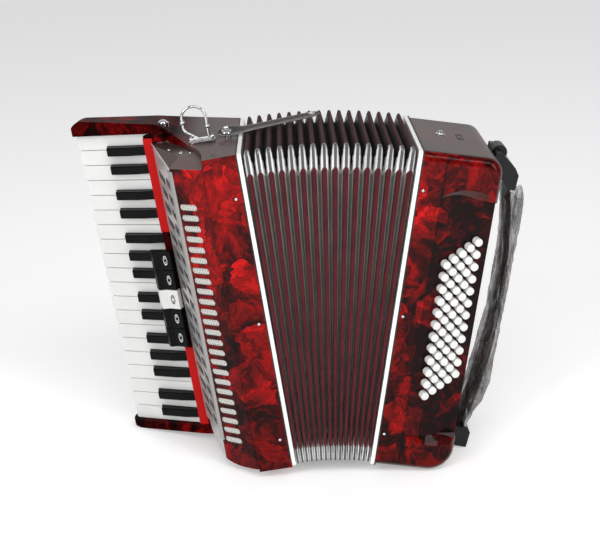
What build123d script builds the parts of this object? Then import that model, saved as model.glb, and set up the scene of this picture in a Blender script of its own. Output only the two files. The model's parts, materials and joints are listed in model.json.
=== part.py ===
from build123d import *
import math
import os

# Piano accordion, 34 treble keys and 60 bass buttons, standing on a table with its bellows
# fanned open.  All sizes in millimetres.  Each half is drawn upright in its own frame
# (x from keyboard to strap, y from the front to the player, z up) and then placed.

# ---------------------------------------------------------------- driving dimensions
CASE_H = 386.0            # height of both case halves at the bellows
CASE_D = 190.0            # front to back
WALL = 6.0                # case wall
LEAN = 7.3                # treble half leans this far from vertical, degrees
FAN = 16.18               # angle between the halves at rest, degrees
FAN_PIVOT = (43.7, -11.0)     # x, z of the line that the bass half fans about
CLOSED_BASS = (94.5, 0.0)     # x, z of the bass half's corner with the bellows shut

FRAME_T = 4.5             # white bellows frames, thickness along x
FRAME_RIM = 14.0          # width of the frame's border
CASE_FRONT = 39.5         # width of the treble case front beside its frame

WHITE_KEYS = 20
KEY_PITCH = 19.0
KEY_BOTTOM = 22.0         # lower end of the keyboard
KEY_TOP = KEY_BOTTOM + WHITE_KEYS * KEY_PITCH
KEY_INNER = (-106.0, 111.5)   # inner end of the playing surface, x and y
KEY_LEN = 106.0           # visible length of a white key
KEY_TILT = 28.5           # slope of the keyboard against the front, degrees
KEY_GAP = 0.6
KEY_H = 14.0              # height of a white key
BLACK_LEN = 62.4
BLACK_W = 10.6
BLACK_H = 9.0             # height above the white keys
BLACK_AFTER = (1, 2, 4, 5, 7, 8, 9, 11, 12, 14, 15, 16, 18, 19)   # white keys above each, from top
BLACK_SHIFT = {4: 1.4, 5: -3.0, 0: 3.2, 1: -0.8, 2: -4.6}    # up from the gap, by place in the octave
AXLE_X = -14.0            # key axle, along the key from the inner end
AXLE_Y = -8.0
AXLE_R = 1.5
AXLE_CLEAR = 0.06

SWITCHES = 5
SWITCH_PITCH = 25.2
SWITCH_Z = 198.6          # height of the middle register switch
SWITCH_W = 24.0

END_STEEP = (386.2, 0.3714, 0.493)    # cover's sloped end: height at the origin, rise along x and y
END_FLAT = (371.6, -0.1, 0.12)        # its flatter part, beside the case

GRILLE_SLOTS = 24
SLOT_PITCH = 12.76
SLOT_LOW = 34.6
SLOT_L = 26.0
SLOT_W = 7.8
SLOT_AT = (-66.0, 25.0)
FACET_TILT = 37.0         # slope of the slotted face against the front, degrees
COVER_BEND = 17.5         # from the slots' middle to the bend, along the slotted face
COVER_REAR = (-101.0, 93.0)   # rear edge of the open-work side wall
SIDE_SLOTS = 17
SIDE_PITCH = 18.7

FOLDS = 16
FOLD_DEPTH = 13.0
BASS_W = 92.0
BOARD_X = 26.5            # left edge of the button board
BOARD_LOW = 46.0
BOARD_HIGH = 336.0
BOARD_DROP = 18.0         # how deep the board lies at its outer edge
BUTTON_ROWS = 5
BUTTON_COLUMNS = 12
BUTTON_R = 4.7
STRAP_Y = (66.0, 124.0)   # front and back edge of the bass strap
KNOB_AT = (100.0, 95.0, 376.5)    # strap wheel, in the bass half
AIR_AT = (99.5, 158.0, 300.0)      # air button, in the bass half
LOOP_AT = (-41.0, 78.0, CASE_H + 3.0)    # shoulder-strap loop on the case top
STRAP_PIN_AT = (-12.0, 90.0, CASE_H + 2.6)    # snap that holds the bellows strap
STRAP_TURN = 15.0         # the strap lies at this angle across the bellows, degrees
STEP_DIR = "parts"

# ---------------------------------------------------------------- frames
key_plane = Plane(
    origin=(KEY_INNER[0], KEY_INNER[1], 0),
    x_dir=(-math.cos(math.radians(KEY_TILT)), math.sin(math.radians(KEY_TILT)), 0),
    z_dir=(0, 0, 1),
)
pivot = Vector(FAN_PIVOT[0], 0, FAN_PIVOT[1])
bass_on_treble = (
    Pos(pivot) * Rot(0, FAN, 0) * Pos(-pivot) * Pos(CLOSED_BASS[0], 0, CLOSED_BASS[1])
)


def box(x0, x1, y0, y1, z0, z1):
    """A box given by its limits."""
    return Pos((x0 + x1) / 2, (y0 + y1) / 2, (z0 + z1) / 2) * Box(x1 - x0, y1 - y0, z1 - z0)


def prism(points, z0, z1):
    """A plan outline drawn upwards from z0 to z1."""
    return extrude(Pos(0, 0, z0) * make_face(Polyline(*points, close=True)), z1 - z0)


def elevation(edges, y0, y1):
    """A face in the XZ plane, given by edges in x and z, drawn from y0 back to y1."""
    face = Plane(origin=(0, y1, 0), x_dir=(1, 0, 0), z_dir=(0, -1, 0)) * make_face(edges)
    return extrude(face, y1 - y0, dir=(0, -1, 0))


def key_box(x0, x1, y0, y1, z0, z1):
    """A box in the keyboard's own directions: along the key, above it, and up."""
    return key_plane.location * box(x0, x1, y0, y1, z0, z1)


def key_prism(points, z0, z1):
    """An outline in the keyboard's own directions, drawn upwards."""
    return key_plane.location * prism(points, z0, z1)


def on_key(x, y):
    """Plan point for a place along and above the keys."""
    return key_plane.from_local_coords(Vector(x, y, 0))


def in_key(edge):
    """Middle of an edge in the keyboard's own directions."""
    return key_plane.to_local_coords(edge.center())


def bar(a, b, width, height):
    """A straight square-edged bar between two points."""
    a, b = Vector(*a), Vector(*b)
    length = (b - a).length
    plane = Plane(origin=(a + b) / 2, x_dir=b - a, z_dir=Vector(0, 0, 1).cross(b - a))
    return plane.location * Box(length, width, height)


def solids_of(shape):
    """A flat list of the solids in a shape or list of shapes."""
    if isinstance(shape, (list, tuple)):
        return [solid for item in shape for solid in solids_of(item)]
    return list(shape.solids())


# ---------------------------------------------------------------- treble case
def treble_outline():
    """Plan of the treble case: flat back and bellows side, front swept back to the keyboard."""
    cheek_in = on_key(-1, 6)
    cheek_out = on_key(KEY_LEN + 0.5, 6)
    back_out = on_key(KEY_LEN + 0.5, -28)
    sweep = RadiusArc((-CASE_FRONT, 10), (cheek_in.X, cheek_in.Y), -98)
    nose = RadiusArc((cheek_out.X, cheek_out.Y), (back_out.X, CASE_D), 26)
    lines = [
        Line((0, 0), (-CASE_FRONT, 0)),
        Line((-CASE_FRONT, 0), (-CASE_FRONT, 10)),
        sweep,
        Line((cheek_in.X, cheek_in.Y), (cheek_out.X, cheek_out.Y)),
        nose,
        Line((back_out.X, CASE_D), (0, CASE_D)),
        Line((0, CASE_D), (0, 0)),
    ]
    return make_face(Wire(lines))


def treble_profile(top, y):
    """Elevation of the treble case at depth y. top is the line of its top, from the bellows out."""
    flank, rise_end, corner = top[1], top[4], top[5]
    drop = Bezier((-88, 10.5), (-74, 10.5), (-74, 0), (-60, 0))
    side_top = (-206, corner[1] - 16)
    lines = [
        Line((0, 0), top[0]),
        Line(top[0], flank),
        Bezier(*top[1:5]),
        Line(rise_end, corner),
        RadiusArc(corner, side_top, -18),
        Line(side_top, (-206, 22)),
        RadiusArc((-206, 22), (-194, 10.5), -12),
        Line((-194, 10.5), (-88, 10.5)),
        drop,
        Line((-60, 0), (0, 0)),
    ]
    return Plane(origin=(0, y, 0), x_dir=(1, 0, 0), z_dir=(0, -1, 0)) * Wire(lines)


def treble_block():
    """Solid of the treble half: in front its top rises in an S to the keyboard's top cheek,
    and along the back it rises evenly."""
    front = [(0, CASE_H), (-50, CASE_H - 1), (-72, 383), (-79, 420), (-99, 423.5), (-187, 434.5)]
    back = [(0, CASE_H), (-50, 395.5), (-66, 398.8), (-82, 402), (-99, 405.4), (-187, 417)]
    return Solid.make_loft([treble_profile(front, 0), treble_profile(back, CASE_D)], ruled=True)


def make_treble_case():
    """Case half with its two keyboard cheeks, the keyboard bed and the rail behind the keys."""
    body = treble_block() & extrude(Pos(0, 0, -5) * treble_outline(), 460)
    inner = Polyline(
        (1, 12), (-60, 12), (-84, 21.5), (-215, 21.5), (-215, KEY_TOP + 0.5), (-84, KEY_TOP + 0.5),
        (-84, 395.5), (-80, 389.5), (-62, 372), (1, 372), close=True,
    )
    cavity = elevation(inner, -10, CASE_D - WALL)
    cavity -= box(-CASE_FRONT, 1, -11, WALL, -10, 500)
    body -= cavity
    bed = key_box(-26, KEY_LEN + 4, -27.5, -20, 21.5, KEY_TOP + 0.5)
    bed &= treble_block()
    rail = key_box(-11, 1.5, 1.0, 10.0, KEY_BOTTOM + 2, KEY_TOP - 1)
    rail = fillet(rail.edges().filter_by(Axis.Z), 2.0)
    posts = [key_box(-11, -5, 1.0, 10.0, z, z + 4) for z in (21.5, KEY_TOP - 3.5)]
    frets = [key_box(-24, -18, -20, -11, z, z + 5) for z in (21.5, KEY_TOP - 4.5)]
    case = body + bed
    veil = key_box(-26, -5, 1.0, 10.0, KEY_TOP - 9, KEY_TOP + 0.5) - under_end(-0.8)
    for piece in posts + frets + [veil]:
        case += piece
    return solids_of(case) + solids_of(rail)


def make_key_axle():
    """Steel rod that all the keys turn on."""
    at = on_key(AXLE_X, AXLE_Y)
    return [Pos(at.X, at.Y, (21.5 + KEY_TOP + 0.5) / 2) * Cylinder(AXLE_R, KEY_TOP - 21.0)]


def note_list():
    """Notes from the top of the keyboard: ('white', n) and ('black', n), n counted from 1."""
    notes = []
    for n in range(1, WHITE_KEYS + 1):
        notes.append(("white", n))
        if n in BLACK_AFTER:
            notes.append(("black", n))
    return notes


def lever_and_pallet(index, count, low, high):
    """Aluminium lever of one key, whose bearing spans low to high, and the pallet it lifts."""
    z_even = KEY_TOP - (KEY_TOP - KEY_BOTTOM) * (index + 0.5) / count
    z_key = min(max(z_even, low + 1.6), high - 1.6, KEY_TOP - 8.6)
    z_pallet = 348.0 - (348.0 - 30.0) * index / (count - 1)
    start = on_key(AXLE_X - 2.2, AXLE_Y)
    arm = bar((start.X, start.Y, z_key), (-46, 62, z_pallet), 5, 2.4)
    pallet = box(-46, -41, 44, 74, z_pallet - 4, z_pallet + 4)
    return arm + pallet


def black_middle(n):
    """Height of the middle of the black key between white keys n and n + 1."""
    return KEY_TOP - n * KEY_PITCH + BLACK_SHIFT[n % 7]


def make_white_key(n, index, count):
    """White key n from the top, round-cornered, notched round its black neighbours."""
    z1 = KEY_TOP - (n - 1) * KEY_PITCH - KEY_GAP / 2
    z0 = z1 - KEY_PITCH + KEY_GAP
    key = key_box(0.5, KEY_LEN, -KEY_H, 0, z0, z1)
    corners = [e for e in key.edges() if in_key(e).X > KEY_LEN - 0.1 and abs(in_key(e).Y + KEY_H / 2) < 1]
    key = fillet(corners, 3.4)
    rim = [e for e in key.edges() if in_key(e).X > 10 and in_key(e).Y > -0.1]
    key = fillet(rim, 0.9)
    reach = BLACK_W / 2 + 0.5
    lo, hi = z0, z1
    if n in BLACK_AFTER:
        lo = black_middle(n) + reach
        key -= key_box(-30, BLACK_LEN + 0.8, -30, 5, z0 - 1, lo)
    if n - 1 in BLACK_AFTER:
        hi = black_middle(n - 1) - reach
        key -= key_box(-30, BLACK_LEN + 0.8, -30, 5, hi, z1 + 1)
    key += key_box(AXLE_X - 3.5, 1.0, -12.5, -0.5, lo + 0.2, hi - 0.2)
    key += lever_and_pallet(index, count, lo + 0.2, hi - 0.2)
    hole = on_key(AXLE_X, AXLE_Y)
    return key - Pos(hole.X, hole.Y, (lo + hi) / 2) * Cylinder(AXLE_R + AXLE_CLEAR, 24)


def make_black_key(n, index, count):
    """Black key between white keys n and n + 1, bevelled at both ends."""
    mid = black_middle(n)
    half = BLACK_W / 2
    side = [
        (1.8, -KEY_H), (BLACK_LEN, -KEY_H), (BLACK_LEN, 1.0), (BLACK_LEN - 4.5, BLACK_H),
        (24, BLACK_H), (1.8, 6.0),
    ]
    key = key_prism(side, mid - half, mid + half)
    tops = [e for e in key.edges() if in_key(e).Y > 4.9 and abs(e.tangent_at(0.5).Z) < 0.01]
    key = fillet(tops, 1.3)
    key += key_box(AXLE_X - 3.5, 2.0, -12.5, -0.5, mid - half + 0.2, mid + half - 0.2)
    key += lever_and_pallet(index, count, mid - half + 0.2, mid + half - 0.2)
    hole = on_key(AXLE_X, AXLE_Y)
    return key - Pos(hole.X, hole.Y, mid) * Cylinder(AXLE_R + AXLE_CLEAR, 24)


# ---------------------------------------------------------------- grille cover
def facet_point(shift, inset):
    """Plan point on the slotted face, shifted along it towards the keys and set inwards."""
    t = math.radians(FACET_TILT)
    x = SLOT_AT[0] - shift * math.cos(t) + inset * math.sin(t)
    y = SLOT_AT[1] + shift * math.sin(t) + inset * math.cos(t)
    return (x, y)


def cover_path(inset):
    """Inner or outer line of the cover in plan: seam, slotted face, bend, side wall."""
    near = facet_point(-29.0, inset)
    bend = facet_point(COVER_BEND, inset)
    rear = (COVER_REAR[0] + inset, COVER_REAR[1])
    start = (-CASE_FRONT - 0.4, near[1])
    return [start, near, bend, rear]


def slope_plane(rise, sink):
    """A sloping plane, from its height at the origin and its rises, sunk square to itself."""
    height, along_x, along_y = rise
    slope = Plane(origin=(0, 0, height), x_dir=(1, 0, along_x), z_dir=(-along_x, -along_y, 1))
    return slope.offset(-sink)


def under_end(sink):
    """All the space under the cover's sloped end, sunk by so much."""
    halves = [slope_plane(rise, sink).location * Pos(0, 0, -300) * Box(900, 900, 600)
              for rise in (END_STEEP, END_FLAT)]
    return halves[0] & halves[1]


def make_grille_cover():
    """Front cover over the levers: slotted face, open-work side wall and sloped end."""
    outer = cover_path(0.0)
    inner = cover_path(3.0)
    wall = prism(outer + inner[::-1], 0, 440)
    bend_edges = [e for e in wall.edges().filter_by(Axis.Z) if e.center().X < -79 and e.center().Y < 50]
    wall = fillet(bend_edges, 5)
    filled = prism(outer + [(-75, 93), (-CASE_FRONT - 0.4, 60)], 0, 440)
    sweep_side = extrude(Pos(0, 0, -5) * offset(treble_outline(), 0.4), 450)
    lid_body = (filled & under_end(0)) - under_end(3)
    floor_body = filled & box(-200, 0, -20, 200, 0, 3)
    cover = ((wall & under_end(0)) + lid_body + floor_body) - sweep_side
    corner = elevation(Wire([
        Line((-130, -5), (-57, -5)), Line((-57, -5), (-57, 0)),
        RadiusArc((-57, 0), (-97, 40), 40), Line((-97, 40), (-130, 40)), Line((-130, 40), (-130, -5)),
    ]), -20, 200)
    cover -= corner
    normal = (-math.sin(math.radians(FACET_TILT)), -math.cos(math.radians(FACET_TILT)), 0)
    for i in range(GRILLE_SLOTS):
        slot_at = (SLOT_AT[0], SLOT_AT[1], SLOT_LOW + i * SLOT_PITCH)
        at = Plane(origin=slot_at, x_dir=(-normal[1], normal[0], 0), z_dir=normal)
        cover -= extrude(at * SlotOverall(SLOT_L, SLOT_W), 6, both=True)
    bend = Vector(*facet_point(COVER_BEND, 0))
    along = (Vector(*COVER_REAR) - bend).normalized()
    middle = (Vector(*COVER_REAR) + bend) / 2
    for i in range(SIDE_SLOTS):
        for shift, rise in ((-15, 0), (13, 4)):
            at = Plane(
                origin=(middle.X + along.X * shift, middle.Y + along.Y * shift, 52 + rise + i * SIDE_PITCH),
                x_dir=(along.X, along.Y, 0.4), z_dir=(-along.Y, along.X, 0))
            cover -= extrude(at * SlotOverall(25, 9.0), 5, both=True)
    return solids_of(cover)


def make_treble_reed_blocks():
    """Soundboard with the wooden reed blocks that stand on its bellows side."""
    board = box(-38, -32, WALL, CASE_D - WALL, 12, 372)
    blocks = [box(-32, -2, y, y + 26, 24, CASE_H - 24) for y in (24, 82, 140)]
    return solids_of([board] + blocks)


def make_frame():
    """Bellows frame: a flat rectangular ring, seen from the case side at x = 0."""
    ring = box(0, FRAME_T, 0, CASE_D, 0, CASE_H)
    ring = fillet(ring.edges().filter_by(Axis.X), 5)
    hole = box(-1, FRAME_T + 1, FRAME_RIM, CASE_D - FRAME_RIM, FRAME_RIM, CASE_H - FRAME_RIM)
    return ring - hole


# ---------------------------------------------------------------- register switches
def make_switch(i):
    """Register switch i from the top: a rocker with a raised thumb end over the keys."""
    mid = SWITCH_Z + (SWITCHES // 2 - i) * SWITCH_PITCH
    side = [(-10, 11), (19, 12.5), (21, 15), (14, 20.5), (6, 17.5), (-10, 19)]
    rocker = key_prism(side, mid - SWITCH_W / 2, mid + SWITCH_W / 2)
    return fillet(rocker.edges().filter_by(Axis.Z), 0.8)


# ---------------------------------------------------------------- strap fittings
def make_strap_loop():
    """Chrome wire loop for a shoulder strap, standing a little askew on the case top."""
    path = FilletPolyline(
        (-4, 0, 4), (-19, 0, 15), (-19, 0, 43), (8.5, 0, 41), (8.5, 0, 4), radius=[8, 13, 13])
    wire = sweep(Plane(path @ 0, z_dir=path % 0) * Circle(1.6), path=path)
    pin = Pos(0, 0, 4) * Rot(0, 90, 0) * Cylinder(1.6, 28)
    balls = [Pos(x, 0, z) * Sphere(2.9) for x, z in ((-19, 25), (8.5, 17))]
    loop = wire + pin
    for ball in balls:
        loop += ball
    return loop


def make_strap_hardware():
    """Base plate of the strap loop, the strap boss on the cheek and the snap stud."""
    at = Pos(*LOOP_AT)
    plate = at * Pos(0, 0, 1) * extrude(Rectangle(30, 15), 1, both=True)
    plate = fillet(plate.edges().filter_by(Axis.Z), 4)
    lugs = []
    for x in (-14.0, 11.4):
        eye = Pos(x + 1.3, 0, 4) * Rot(0, 90, 0) * Cylinder(3.0, 2.6)
        lugs.append(at * (eye + box(x, x + 2.6, -3.0, 3.0, 1.5, 4)))
    bore = at * Pos(0, 0, 4) * Rot(0, 90, 0) * Cylinder(1.68, 60)
    base = plate
    for lug in lugs:
        base += lug
    base -= bore
    boss_at = Pos(-87, 118, 407)
    boss = boss_at * Cylinder(7, 6) + boss_at * Pos(0, 0, 3) * scale(Sphere(5.5), (1, 1, 0.7))
    case_half = treble_block()
    stud = Pos(STRAP_PIN_AT[0], STRAP_PIN_AT[1], CASE_H + 3.5) * Cylinder(4, 5)
    base -= case_half
    boss -= case_half
    stud -= case_half
    return solids_of([base, boss, stud])


def make_bellows_strap():
    """Leather strap snapped on the treble half and laid across the bellows."""
    band = extrude(Pos(50, 0) * Rectangle(124, 14), 2.4)
    band = fillet(band.edges().filter_by(Axis.Z), 6.8)
    return band - Cylinder(4.06, 20)


# ---------------------------------------------------------------- bellows
def bellows_corner():
    """Apex of the bellows wedge and the angle of the bass frame's inner face."""
    face = bass_on_treble * Pos(-FRAME_T - 0.5, 0, 0)
    low = face.position
    tan = math.tan(math.radians(FAN))
    return FRAME_T, low.Z - (low.X - FRAME_T) / tan


def radial_rectangle(angle, near, far, front, back):
    """Rectangle standing in a plane through the wedge's apex."""
    apex_x, apex_z = bellows_corner()
    s, c = math.sin(math.radians(angle)), math.cos(math.radians(angle))
    corners = []
    for r, y in ((near, front), (near, back), (far, back), (far, front)):
        corners.append((apex_x + r * s, y, apex_z + r * c))
    return Wire(Polyline(*corners, close=True).edges())


def make_bellows():
    """Pleated bellows: sixteen folds fanned about the apex of the wedge, hollow inside."""
    apex_x, apex_z = bellows_corner()
    near, far = 3 - apex_z, CASE_H + 0.5 - apex_z
    step = FAN / FOLDS
    sections = []
    for i in range(2 * FOLDS + 1):
        deep = 0 if i % 2 else FOLD_DEPTH
        sections.append(radial_rectangle(
            i * step / 2, near + deep, far - deep, 1 + deep, CASE_D - 1 - deep))
    outer = Solid.make_loft(sections, ruled=True)
    skin = FOLD_DEPTH + 3
    inner = []
    for angle in (-0.5, FAN + 0.5):
        inner.append(radial_rectangle(angle, near + skin, far - skin, 1 + skin, CASE_D - 1 - skin))
    return outer - Solid.make_loft(inner, ruled=True)


# ---------------------------------------------------------------- bass half
def bass_profile(inset):
    """Front elevation of the bass case with its rounded outer corners."""
    top, low, side = CASE_H - inset, inset, BASS_W - inset
    big, small = 30 - inset, 18 - inset
    return Wire([
        Line((inset, low), (inset, top)), Line((inset, top), (side - small, top)),
        RadiusArc((side - small, top), (side, top - small), small),
        Line((side, top - small), (side, low + big)),
        RadiusArc((side, low + big), (side - big, low), big),
        Line((side - big, low), (inset, low)),
    ])


def board_depth(x):
    """Depth of the button board behind the front at x."""
    return (x - BOARD_X) * BOARD_DROP / (BASS_W - BOARD_X)


def board_plane(x, z):
    """Plane lying on the button board, facing out of it."""
    t = math.atan2(BOARD_DROP, BASS_W - BOARD_X)
    return Plane(origin=(x, board_depth(x), z), x_dir=(math.cos(t), math.sin(t), 0),
                 z_dir=(math.sin(t), -math.cos(t), 0))


def button_places():
    """Row number, column number, and x and z on the board of each bass button."""
    places = []
    for row in range(BUTTON_ROWS):
        for column in range(BUTTON_COLUMNS):
            x = 44.0 + 8.25 * row
            z = 259.4 - 14.74 * column + 7.05 * row
            places.append((row, column, x, z))
    return places


def make_bass_case():
    """Bass case: hollow shell with the sloping button board and a scoop at each end of it."""
    outer = elevation(bass_profile(0), 0, CASE_D)
    front = [e for e in outer.edges() if e.center().Y < 0.1 and e.center().X > 1]
    outer = fillet(front, 10.5)
    back = [e for e in outer.edges() if e.center().Y > CASE_D - 0.1 and e.center().X > 1]
    outer = fillet(back, 14)
    hollow = elevation(bass_profile(WALL), 26, CASE_D - WALL) + box(
        -1, BASS_W - 30, 26, CASE_D - WALL, WALL, CASE_H - WALL)
    hollow += box(-1, BOARD_X - 5, WALL, 30, WALL, CASE_H - WALL)
    wedge_points = [(BOARD_X, 0), (BASS_W + 10, -1), (BASS_W + 10, board_depth(BASS_W + 10))]
    wedge = prism(wedge_points, BOARD_LOW, BOARD_HIGH)
    tall = prism(wedge_points, BOARD_LOW - 14, BOARD_HIGH + 14)
    case = outer - hollow
    case -= wedge
    for z in (BOARD_HIGH - 42, BOARD_LOW + 42):
        cone = Pos(60.75, 9, z) * Rot(90, 0, 0) * Cone(36, 54, 18)
        case -= cone & tall
    for _, _, x, z in button_places():
        case -= board_plane(x, z).location * Cylinder(BUTTON_R + 0.35, 60)
    case -= Pos(*AIR_AT) * Rot(0, 90, 0) * Cylinder(3.4, 40)
    return solids_of(case)


def make_button_row(row):
    """One row of twelve domed bass buttons with their stems."""
    buttons = []
    for r, _, x, z in button_places():
        if r == row:
            stem = Pos(0, 0, -8) * Cylinder(BUTTON_R, 31)
            dome = Pos(0, 0, 7.5) * scale(Sphere(BUTTON_R), (1, 1, 0.35))
            buttons.append(board_plane(x, z).location * (stem + dome))
    return solids_of(buttons)


def make_bass_reed_blocks():
    """Two wooden reed blocks on the bass soundboard."""
    board = box(20, 24, 27, CASE_D - WALL, WALL, CASE_H - WALL)
    blocks = [box(1, 20, y, y + 24, 30, CASE_H - 30) for y in (50, 110)]
    return solids_of([board] + blocks)


def make_bass_strap():
    """Wide leather hand strap, bowed outwards between its brackets."""
    outer = ThreePointArc((121, 338), (134, 180), (116, 32))
    inner = ThreePointArc((114, 338), (127, 180), (109, 32))
    shape = Wire([outer, Line((116, 32), (109, 32)), inner, Line((114, 338), (121, 338))])
    return elevation(shape, STRAP_Y[0], STRAP_Y[1])


def make_bass_strap_brackets():
    """Black plastic end fittings of the bass strap."""
    y0, y1 = STRAP_Y[0] - 1, STRAP_Y[1] + 1
    top = elevation(Polyline(
        (BASS_W + 0.1, 368), (93, 380), (100, 380), (118, 364), (123, 356), (122, 338), (113, 338),
        (103, 350), (BASS_W + 0.1, 350), close=True), y0, y1)
    low = elevation(Polyline(
        (BASS_W + 0.1, 36), (106, 32), (117, 32), (121, 26), (119, 6), (BASS_W + 0.1, 8), close=True), y0, y1)
    slot = elevation(Polyline((105, 366), (112, 361), (109, 352), (103, 356), close=True), 82, 108)
    seat = Pos(*KNOB_AT) * Rot(90, 0, 0) * (Cylinder(9.5, 26) + Cylinder(1.56, 38))
    return solids_of([top - slot - seat, low])


def make_bass_strap_knob():
    """Knurled wheel that tightens the bass strap, on its own spindle."""
    wheel = Cylinder(9, 24) + Cylinder(1.5, 37)
    for i in range(18):
        groove = Rot(0, 0, i * 20) * Pos(9.3, 0, 0) * Cylinder(0.9, 30)
        wheel -= groove
    return wheel


def make_air_button():
    """Button that opens the air valve, beside the strap."""
    cap = Rot(0, 90, 0) * Cylinder(6.5, 8)
    cap = fillet(cap.edges().group_by(Axis.X)[-1], 1.5)
    stem = Pos(-12, 0, 0) * Rot(0, 90, 0) * Cylinder(3, 18)
    return cap + stem


def build():
    """All nodes as name -> (half, list of solids), each in its own half's frame."""
    nodes = {
        "treble_case": ("treble", make_treble_case()),
        "key_axle": ("treble", make_key_axle()),
        "grille_cover": ("treble", make_grille_cover()),
        "treble_reed_blocks": ("treble", make_treble_reed_blocks()),
        "treble_frame": ("treble", solids_of(make_frame())),
        "bellows": ("treble", solids_of(make_bellows())),
        "strap_hardware": ("treble", make_strap_hardware()),
        "strap_loop": ("treble", solids_of(Pos(*LOOP_AT) * make_strap_loop())),
        "bellows_strap": ("treble", solids_of(
            Pos(*STRAP_PIN_AT) * Rot(0, 0, STRAP_TURN) * make_bellows_strap())),
        "bass_frame": ("bass", solids_of(Pos(-FRAME_T - 0.2, 0, 0) * make_frame())),
        "bass_case": ("bass", make_bass_case()),
        "bass_reed_blocks": ("bass", make_bass_reed_blocks()),
        "bass_strap": ("bass", solids_of(make_bass_strap())),
        "bass_strap_brackets": ("bass", make_bass_strap_brackets()),
        "bass_strap_knob": ("bass", solids_of(Pos(*KNOB_AT) * Rot(90, 0, 0) * make_bass_strap_knob())),
        "air_button": ("bass", solids_of(Pos(*AIR_AT) * make_air_button())),
    }
    notes = note_list()
    for index, (kind, n) in enumerate(notes):
        if kind == "white":
            nodes[f"white_key_{n:02d}"] = ("treble", solids_of(make_white_key(n, index, len(notes))))
        else:
            number = BLACK_AFTER.index(n) + 1
            nodes[f"black_key_{number:02d}"] = ("treble", solids_of(make_black_key(n, index, len(notes))))
    for i in range(SWITCHES):
        nodes[f"register_switch_{i + 1}"] = ("treble", solids_of(make_switch(i)))
    for row in range(BUTTON_ROWS):
        nodes[f"bass_buttons_row_{row + 1}"] = ("bass", make_button_row(row))
    return nodes


def placements(nodes):
    """Placement of each half, with the whole standing on z = 0 and centred on the origin."""
    treble = Rot(0, -LEAN, 0)
    half = {"treble": treble, "bass": treble * bass_on_treble}
    everything = Compound(children=[half[h] * s for h, group in nodes.values() for s in group])
    span = everything.bounding_box()
    shift = Pos(-(span.min.X + span.max.X) / 2, -(span.min.Y + span.max.Y) / 2, -span.min.Z)
    return {name: shift * place for name, place in half.items()}


nodes = build()
half_place = placements(nodes)
os.makedirs(STEP_DIR, exist_ok=True)
for name, (half, group) in nodes.items():
    placed = [half_place[half] * solid for solid in group]
    shape = placed[0] if len(placed) == 1 else Compound(children=placed)
    export_step(shape, f"{STEP_DIR}/{name}.step")
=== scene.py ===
import json
import math

import bpy
from mathutils import Matrix, Vector, noise


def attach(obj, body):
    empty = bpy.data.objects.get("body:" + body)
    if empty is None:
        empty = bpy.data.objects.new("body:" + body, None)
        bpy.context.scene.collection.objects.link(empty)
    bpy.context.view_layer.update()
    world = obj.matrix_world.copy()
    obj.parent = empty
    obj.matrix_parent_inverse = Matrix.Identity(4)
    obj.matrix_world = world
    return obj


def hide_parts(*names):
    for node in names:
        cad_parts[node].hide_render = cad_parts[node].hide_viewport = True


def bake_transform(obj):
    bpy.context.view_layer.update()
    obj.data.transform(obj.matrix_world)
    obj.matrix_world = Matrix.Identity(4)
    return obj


# Looks of a piano accordion: pearl-red celluloid, chrome, ivory keys and a fanned bellows.
# Pieces are drawn in millimetres in their half's own frame (x from keyboard to strap, y from
# the front to the player, z up) and placed by that half's matrix.
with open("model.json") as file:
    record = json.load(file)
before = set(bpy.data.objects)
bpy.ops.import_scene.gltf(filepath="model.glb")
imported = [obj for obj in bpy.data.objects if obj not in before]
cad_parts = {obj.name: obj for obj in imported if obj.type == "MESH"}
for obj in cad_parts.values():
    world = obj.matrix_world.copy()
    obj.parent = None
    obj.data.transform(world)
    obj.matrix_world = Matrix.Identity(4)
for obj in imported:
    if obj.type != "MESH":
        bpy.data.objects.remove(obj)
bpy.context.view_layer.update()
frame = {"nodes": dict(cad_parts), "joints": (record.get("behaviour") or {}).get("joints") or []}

# ---------------------------------------------------------------- driving dimensions, mm
MM = 0.001
CASE_H = 386.0
CASE_D = 190.0
LEAN = 7.3                     # the treble half leans this far, degrees
FAN = 16.18                    # angle between the halves, degrees
PIVOT = Vector((43.7, 95.0, -11.0))
CLOSED_BASS = Vector((94.5, 0.0, 0.0))
FRAME_T = 4.5
FOLDS = 16
FOLD_DEPTH = 13.0
KEY_TILT = math.radians(28.5)
KEY_INNER = Vector((-106.0, 111.5, 0.0))
FACET_TILT = math.radians(37.0)
SLOT_AT = Vector((-66.0, 25.0, 0.0))
SLOT_LOW, SLOT_PITCH, SLOTS = 34.6, 12.76, 24
SLOT_L, SLOT_W = 26.0, 7.8
COVER_BEND = 17.5              # from the slots' middle to the cover's bend
COVER_REAR = Vector((-101.0, 93.0, 0.0))
KEY_BOTTOM, KEY_TOP = 22.0, 402.0
SWITCH_Z, SWITCH_PITCH = 198.6, 25.2
END_STEEP = (386.2, 0.3714, 0.493)     # cover's sloped end: height at the origin, rise along x and y
END_FLAT = (371.6, -0.1, 0.12)
BASS_W = 92.0
BOARD_X = 26.5
BOARD_DROP = 18.0
STRAP_PIN = Vector((-12.0, 90.0, CASE_H + 2.6))
STRAP_TURN = math.radians(15.0)
TURN_STEPS = 28                # sides of a turned piece
RIM_CORNER, RIM_PROUD = 5.0, 0.5       # gasket lines: corner radius, and how far they stand out
STRAP_LOW, STRAP_HIGH = 33.0, 336.0    # ends of the hand strap
STRAP_EDGES = (71.0, 119.0)            # y of the hand strap's stitched edges
FILM_LOW, FILM_TOP = 36.0, 331.0       # ends of the clear film round the hand strap
FILM_STEP, FILM_ROWS, FILM_AROUND = 2.5, 119, 64
FILM_DEEP = 32.5                       # half of the film's depth, front to back

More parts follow.
